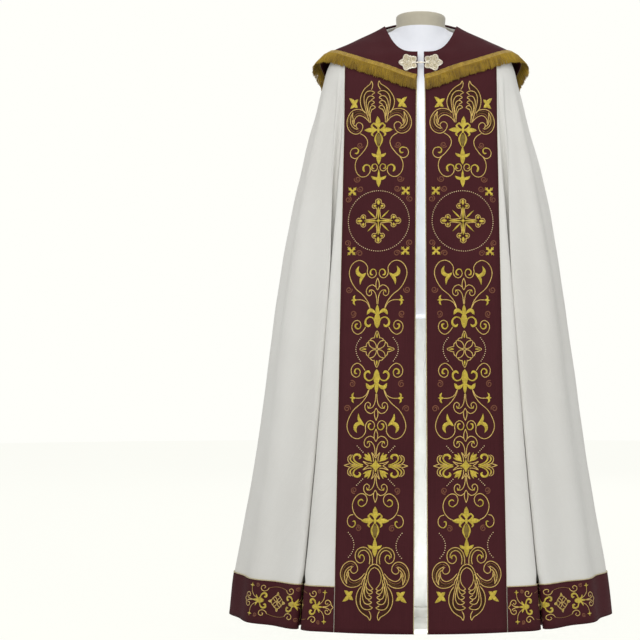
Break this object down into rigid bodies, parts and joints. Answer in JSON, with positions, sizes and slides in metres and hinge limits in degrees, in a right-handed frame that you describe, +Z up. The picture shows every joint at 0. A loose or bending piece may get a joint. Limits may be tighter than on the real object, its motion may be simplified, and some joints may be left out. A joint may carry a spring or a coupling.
{
  "type": "cope vestment on dress form",
  "caption": "Ankle-length liturgical cope with fringed hood collar and leaf clasp, hanging in folds on a limbless dress form with a round foot.",
  "frame": {"origin": "centre of the stand's foot, on its underside", "axes": "+Z up along the pole, -Y towards the front of the cope, +X to the right in the front view"},
  "size_m": [0.9362, 0.7819, 1.49],
  "materials": {
    "ivory_cloth": "fine matt twill with a soft sheen",
    "burgundy_cloth": "close matt weave with gold embroidery",
    "gold_fringe": "loose rayon yarn with a silky sheen",
    "clasp_metal": "pale polished gilt",
    "form_linen": "plain jersey stretched over the form",
    "stand_steel": "white satin enamel over a cast foot and a steel pole"
  },
  "bodies": {
    "root": {"body": "ivory_cloth", "hem_band": "burgundy_cloth", "orphrey_left": "burgundy_cloth", "orphrey_right": "burgundy_cloth", "hood": "burgundy_cloth", "fringe": "gold_fringe", "clasp_left": "clasp_metal", "clasp_right": "clasp_metal", "clasp_hook": "clasp_metal", "form_torso": "form_linen", "form_pole": "stand_steel", "form_base": "stand_steel"}
  },
  "joints": []
}
